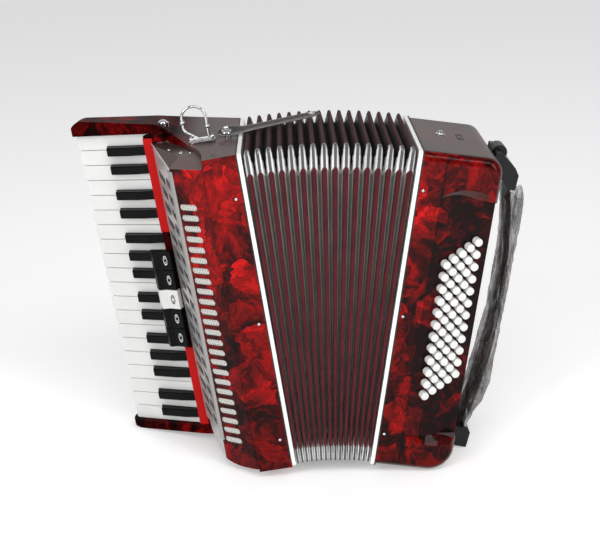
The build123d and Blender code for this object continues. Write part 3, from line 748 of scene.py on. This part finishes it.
def make_side_trims():
    """A near black sheet behind the open side as painted shade, the grey strip on the cover's bend and its
    chrome edge.
    """
    shade_sheet = Build()
    rows = []
    for k in range(60):
        z = 26.0 + k * 5.75
        row = []
        for c in range(8):
            point = BEND_AT + SIDE_RUN * (5.0 + c * 7.6) - SIDE_OUT * (4.6 + 0.4 * math.sin(k * 1.7 + c))
            row.append((point.x, point.y, z))
        rows.append(row)
    shade_sheet.grid(rows)
    shade_sheet.piece("side_painted_shade", TREBLE, "treble", "plastic_black", [SIDE_PAINTED_SHADE])
    strip = Build()
    section = []
    facet_out = Vector((FACET_RUN.y * -1, FACET_RUN.x, 0))
    for run, out, reach, lift in (
        (-FACET_RUN, facet_out, 3.6, 0.1), (-FACET_RUN, facet_out, 3.3, 0.7),
        (-FACET_RUN, facet_out, 1.4, 0.75),
        (SIDE_RUN, SIDE_OUT, 0.2, 0.45), (SIDE_RUN, SIDE_OUT, 1.8, 0.75), (SIDE_RUN, SIDE_OUT, 9.0, 0.7),
        (SIDE_RUN, SIDE_OUT, 9.3, 0.1),
    ):
        section.append(BEND_AT + run * reach + out * lift)
    rows = [[(p.x, p.y, z) for p in section] for z in (33.0, 60.0, 200.0, 340.0, 370.0)]
    strip.grid(rows)
    strip.piece("cover_bend_strip", TREBLE, "treble", "grille_silver", [SILVER])
    edge = Build()
    near = BEND_AT + SIDE_OUT * 0.3
    rear = COVER_REAR + SIDE_OUT * 0.3
    points = [(at.x, at.y, end_height(at.x, at.y) - 0.4) for at in (near, rear)]
    tube(edge, points, 1.15)
    edge.piece("cover_edge_chrome", TREBLE, "treble", "chrome", [CHROME])


def make_rail_painted_glare():
    """Plain red strips on the front of the rail behind the keys, as painted glare on its lit parts above and
    below the switches.
    """
    section = [(1.7, 9.0), (1.7, 10.1), (1.2, 10.5), (-10.6, 10.5), (-11.2, 10.1), (-11.2, 9.0)]
    build = Build()
    for low, high in ((KEY_BOTTOM + 5, 132.0), (283.0, KEY_TOP - 4.0)):
        rows = [[(x, y, z) for x, y in section] for z in (low, low + 0.6, high - 0.6, high)]
        build.grid(rows, ends=True, turn=KEYBOARD)
    build.piece("rail_painted_glare", TREBLE, "treble", "pearl_red", [RAIL_PAINTED_GLARE])


def make_switch_marks():
    """Oval mark with two dots on each register switch; the middle one's is black."""
    for i in range(5):
        build = Build()
        middle = SWITCH_Z + (2 - i) * SWITCH_PITCH
        slope = math.atan2(1.5, 16.0)
        top = KEYBOARD @ Matrix.Translation((-1.6, 18.35, middle)) @ Matrix.Rotation(-slope, 4, "Z")
        flat = top @ Matrix.Rotation(math.radians(-90), 4, "X")
        for inner, outer in ((0.78, 1.0), (0.0, 0.26)):
            shifts = (0.0,) if inner else (-0.42, 0.42)
            for shift in shifts:
                rows = []
                hole = max(inner, 0.02)
                for share, lift in ((outer, 0.0), (outer, 0.32), (hole, 0.32), (hole, 0.0)):
                    rows.append([
                        (2.9 * share * math.cos(math.pi * k / 14), 6.0 * (share * math.sin(math.pi * k / 14)
                         if inner else 0.5 * share * math.sin(math.pi * k / 14) + shift), lift)
                        for k in range(28)
                    ])
                build.grid(rows, around=True, turn=flat)
        look = EBONY if i == 2 else IVORY
        name = "key_black" if i == 2 else "ivory_white"
        build.piece(f"switch_mark_{i + 1}", TREBLE, f"register_switch_{i + 1}", name, [look])


def make_cover_screws():
    build = Build()
    slope = Vector((-END_FLAT[1], -END_FLAT[2], 1))
    for x, y, size in ((-80, 68, 0.55), (-66, 56, 0.8), (-55, 54, 0.55)):
        head = [(3.4, 0.0), (3.4, 0.5), (2.8, 1.3), (1.2, 1.9), (1.1, 1.3), (0.3, 1.2)]
        seat = facing((x, y, end_height(x, y)), slope, (0, 1, 0))
        build.revolve([(r * size, h * size) for r, h in head], seat)
    build.piece("cover_screws", TREBLE, "treble", "chrome", [CHROME])


# ---------------------------------------------------------------- straps
def band_width(x):
    """Half width of the bellows strap, with its pointed near end and round far end."""
    if x < 14:
        return 7.6 * math.sin(math.pi / 2 * max(0.0, min(1.0, (x + 12.0) / 13.0))) ** 0.6
    if x > 100:
        return 6.0 * math.sqrt(max(0.0, 1.0 - ((x - 100.0) / 12.0) ** 2))
    return 6.0 + 1.6 * max(0.0, (30 - x) / 16)


def roll_of(x):
    """The bellows strap leans forward by this angle, more at its near end."""
    return 0.27 + 0.35 * max(0.0, min(1.0, (20.0 - x) / 16.0))


def rolled(x, y, z):
    """Point of the bellows strap's section, after the roll."""
    angle = roll_of(x)
    lift = 7.5 * math.sin(angle)
    return (x, y * math.cos(angle) - z * math.sin(angle), y * math.sin(angle) + z * math.cos(angle) + lift)


def make_bellows_strap():
    """Stitched leather strap over the bellows, with a snap at each end."""
    at = Matrix.Translation(STRAP_PIN) @ Matrix.Rotation(STRAP_TURN, 4, "Z")
    build = Build()
    stations = [-12.0, -11.6, -10.5, -8, -4, 0, 6, 14] + [14 + 7.2 * k for k in range(1, 12)]
    stations += [100, 104, 107.5, 110.2, 111.6, 112.0]
    rows = []
    piping = []
    for x in stations:
        w = max(0.25, band_width(x))
        edge = min(1.0, w / 2)
        section = [(-w, 0.5), (-w, 1.7), (-w + edge * 0.6, 2.4), (-w + edge * 2, 2.15), (0, 2.35),
                   (w - edge * 2, 2.15), (w - edge * 0.6, 2.4), (w, 1.7), (w, 0.5), (0, 0.0)]
        rows.append([rolled(x, y, z) for y, z in section])
        piping.append((x, w, 1.7))
    build.grid(rows, around=True, ends=True, turn=at)
    for side in (1, -1):
        tube(build, [at @ Vector(rolled(x, side * w, z)) for x, w, z in piping], 0.5, mark=1, sides=8)
    for side in (1, -1):
        for k in range(30):
            x = -2.0 + 3.6 * k
            y = side * (band_width(x + 1) - 1.7)
            points = [at @ Vector(rolled(x + along, y, z))
                      for along, z in ((0, 2.15), (0.6, 2.5), (2.0, 2.5), (2.6, 2.15))]
            tube(build, points, 0.28, mark=2, sides=6)
    cap = [(5.6, 0.0), (5.6, 0.7), (5.0, 1.3), (4.2, 0.9), (3.9, 0.2), (2.2, 0.2), (1.9, 1.1), (0.4, 1.3)]
    seat = Matrix.Translation(rolled(-1.0, 0.0, 2.2)) @ Matrix.Rotation(roll_of(-1.0), 4, "X")
    build.revolve(cap, at @ seat, mark=3)
    ring = [(4.0, 0.0), (4.0, 0.7), (3.3, 1.2), (2.4, 0.9), (2.2, 0.3), (0.5, 0.25)]
    far_seat = Matrix.Translation(rolled(103.0, 0.0, 2.3)) @ Matrix.Rotation(roll_of(103.0), 4, "X")
    build.revolve(ring, at @ far_seat, mark=3)
    piece = build.piece("bellows_strap_leather", TREBLE, "bellows_strap", "strap_leather",
                        [LEATHER, PIPING, THREAD, CHROME])
    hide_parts("bellows_strap")


def strap_arcs(z):
    """Inner and outer x of the bass strap at height z."""
    def arc(x_low, x_mid, x_high):
        a = ((x_high - x_low) / 306.0)
        base = x_low + a * (z - 32.0)
        bow = x_mid - (x_low + a * 148.0)
        return base + bow * (1 - ((z - 182.0) / 154.0) ** 2)
    return arc(107, 126, 113) + 0.2, arc(114, 134, 120) - 0.2


# Round the hand strap: y, and the share of its half thickness.
STRAP_SECTION = (
    (66.6, 0.25), (66.2, 0.0), (66.6, -0.25), (69.0, -0.42), (71.0, -0.34), (74.0, -0.7),
    (80.0, -0.95), (95.0, -1.0), (110.0, -0.95), (116.0, -0.7), (119.0, -0.34), (121.0, -0.42),
    (123.4, -0.25), (123.8, 0.0), (123.4, 0.25), (121.0, 0.42), (119.0, 0.34), (116.0, 0.7),
    (110.0, 0.95), (95.0, 1.0), (80.0, 0.95), (74.0, 0.7), (71.0, 0.34), (69.0, 0.42),
)


def make_bass_strap():
    """Wide leather hand strap with a padded middle and stitched edges."""
    build = Build()
    rows = []
    stations = [STRAP_LOW + (STRAP_HIGH - STRAP_LOW) * k / 60 for k in range(61)]
    for z in stations:
        inner, outer = strap_arcs(z)
        swell = min(1.0, (z - STRAP_LOW) / 30.0, (STRAP_HIGH - z) / 30.0)
        middle = (inner + outer) / 2
        half = (outer - inner) / 2
        row = []
        for y, share in STRAP_SECTION:
            shift = half * share * (0.55 + 0.45 * swell)
            row.append((middle + shift, y, z))
        rows.append(row)
    build.grid(rows, around=True, ends=True)
    for y in STRAP_EDGES:
        for k in range(58):
            z = 40.0 + 5.0 * k
            points = []
            for step, lift in ((0.0, -0.3), (0.7, 0.25), (2.6, 0.25), (3.3, -0.3)):
                inner, outer = strap_arcs(z + step)
                points.append(((inner + outer) / 2 + (outer - inner) / 2 * 0.36 + lift, y, z + step))
            tube(build, points, 0.32, mark=1, sides=6)
    piece = build.piece("bass_strap_leather", BASS, "bass", "strap_leather", [LEATHER, THREAD])
    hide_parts("bass_strap")


# The film's height, and its inner and outer x there.
FILM_WIDTHS = ((36, 106.5, 116.0), (50, 107.5, 121.0), (72, 110.0, 131.5), (95, 113.0, 137.0),
               (130, 117.5, 136.5), (184, 122.5, 136.5), (250, 122.0, 137.0), (300, 119.0, 138.0),
               (331, 112.5, 137.0))


def film_sides(z):
    """Inner and outer x of the film at height z, eased between the heights of the table."""
    for (z0, a0, b0), (z1, a1, b1) in zip(FILM_WIDTHS, FILM_WIDTHS[1:]):
        if z <= z1:
            t = max(0.0, (z - z0) / (z1 - z0))
            t = t * t * (3 - 2 * t)
            return a0 + (a1 - a0) * t, b0 + (b1 - b0) * t
    return FILM_WIDTHS[-1][1:]


def make_film():
    """Clear film wound loosely round the bass strap, crumpled, with ragged ends."""
    build = Build()
    rows = []
    for k in range(FILM_ROWS):
        row = []
        for c in range(FILM_AROUND):
            t = 2 * math.pi * c / FILM_AROUND
            z = FILM_LOW + FILM_STEP * k
            end = min(k, FILM_ROWS - 1 - k)
            z += (3.5 * math.sin(3 * t + 1.0) + 2.0 * math.sin(5 * t)) * max(0.0, 1 - end / 8)
            left, right = film_sides(min(max(z, FILM_LOW), FILM_TOP))
            inner, outer = strap_arcs(min(max(z, STRAP_LOW), STRAP_HIGH))
            left = min(left, inner - 1.6)
            right = max(right, outer + 1.6)
            cx, rx = (left + right) / 2, (right - left) / 2
            ca, sa = math.cos(t), math.sin(t)
            shape = (abs(ca) ** 3 + abs(sa) ** 3) ** (-1 / 3)
            x, y = cx + rx * ca * shape, CASE_D / 2 + FILM_DEEP * sa * shape
            where = Vector((math.cos(t) * 1.6, math.sin(t) * 1.6, z / 46.0))
            fold = abs(noise.noise(where * 1.7 + Vector((0, 0, 3.0)))) * 2.0 - 0.4
            fine = noise.noise(where * 5.0) * 0.5
            pull = (fold + fine) * (1.6 if rx > 6 else 0.6)
            row.append((x - pull * ca, y - pull * sa * 1.4, z))
        rows.append(row)
    build.grid(rows, around=True)
    piece = build.piece("strap_film", BASS, "bass", "film_clear", [FILM], 80.0)


def make_bass_top():
    """Snap stud and strap slot on top of the bass half."""
    build = Build()
    at = Matrix.Translation((30.3, 100, CASE_H))
    build.revolve([(5.6, -0.2), (5.6, 0.7), (4.8, 1.2), (3.4, 1.2),
                   (3.0, 2.2), (3.2, 3.4), (2.4, 4.2), (0.4, 4.4)], at)
    for k in range(4):
        t = math.radians(45 + 90 * k)
        pin = at @ Matrix.Translation((4.1 * math.cos(t), 4.1 * math.sin(t), 0))
        build.revolve([(0.9, 0.0), (0.9, 1.7), (0.2, 2.0)], pin)
    build.piece("bass_snap", BASS, "bass", "chrome", [CHROME])
    slot = Build()
    ring = stadium(26.0, 8.0)
    rows = []
    for share, height in ((1.0, -0.1), (1.0, 0.5), (0.86, 0.7), (0.72, 0.4), (0.7, 0.12)):
        rows.append([(53.0 + v * share, 98 + u * share, CASE_H + height) for u, v in ring])
    slot.grid(rows, around=True, ends=True)
    slot.piece("bass_top_slot", BASS, "bass", "plastic_black", [BLACK_PLASTIC])


# ---------------------------------------------------------------- stage, light, camera
def area_light(name, at, target, size, power):
    data = bpy.data.lights.new(name, "AREA")
    data.shape = "RECTANGLE"
    data.size, data.size_y = size
    data.energy = power
    light = bpy.data.objects.new(name, data)
    bpy.context.scene.collection.objects.link(light)
    aim = (Vector(target) - Vector(at)).to_track_quat("-Z", "Y")
    light.matrix_world = Matrix.Translation(Vector(at)) @ aim.to_matrix().to_4x4()


def make_stage():
    build = Build()
    reach = 8.0
    build.grid([[(-reach, -reach, 0), (reach, -reach, 0)], [(-reach, reach, 0), (reach, reach, 0)]])
    floor_look = plain("floor_pale", (0.86, 0.86, 0.86), 0.9, 0.01, Emission_Color=(1, 1, 1, 1),
                       Emission_Strength=0.30)
    floor = build.piece("floor", Matrix.Identity(4), None, "frame_white", [floor_look])
    world = bpy.data.worlds.new("studio")
    world.use_nodes = True
    tree = world.node_tree
    way = tree.nodes.new("ShaderNodeSeparateXYZ")
    tree.links.new(tree.nodes.new("ShaderNodeTexCoord").outputs["Generated"], way.inputs[0])
    sky = tree.nodes.new("ShaderNodeValToRGB")
    tree.links.new(way.outputs["Y"], sky.inputs["Fac"])
    stops = ((0.0, 0.32), (0.15, 0.6), (0.35, 1.0), (1.0, 1.0))
    while len(sky.color_ramp.elements) < len(stops):
        sky.color_ramp.elements.new(0.5)
    for element, (position, value) in zip(sky.color_ramp.elements, stops):
        element.position = position
        element.color = (value, value, value, 1.0)
    tree.links.new(sky.outputs["Color"], tree.nodes["Background"].inputs["Color"])
    tree.nodes["Background"].inputs["Strength"].default_value = 0.72
    bpy.context.scene.world = world
    area_light("key_left", (-1.6, -2.2, 1.5), (0, 0, 0.2), (0.9, 1.6), 36)
    area_light("key_right", (1.9, -1.9, 1.3), (0, 0, 0.2), (0.8, 1.6), 26)
    area_light("front_soft", (0.4, -1.9, 2.6), (0, 0, 0.2), (2.4, 0.9), 36)


def make_camera():
    """Camera at the view the object was seen from, placed in the treble half's own frame."""
    data = bpy.data.cameras.new("camera")
    data.sensor_width = 36.0
    data.lens = 77.57
    camera = bpy.data.objects.new("camera", data)
    bpy.context.scene.collection.objects.link(camera)
    right = Vector((0.98728, -0.01807, -0.15797))
    down = Vector((-0.15537, -0.32071, -0.93435))
    ahead = Vector((-0.03378, 0.94700, -0.31944))
    turn = Matrix((right, -down, -ahead)).transposed()
    world = upright.to_3x3() @ turn
    at = TREBLE @ Vector((97.4, -1378.6, 711.5))
    camera.matrix_world = Matrix.Translation(at) @ world.to_4x4()
    bpy.context.scene.camera = camera
    bpy.context.scene.view_settings.view_transform = "Standard"


dress_cad()
make_bellows()
rim_line("rim_line_treble", -1.4, 0.0, TREBLE, "treble")
rim_line("rim_line_bass", 0.0, 1.4, BASS, "bass")
make_pins()
make_grille_mesh()
make_cover_screws()
make_side_trims()
make_rail_painted_glare()
make_switch_marks()
make_bellows_strap()
make_bass_strap()
make_film()
make_bass_top()
make_stage()
make_camera()
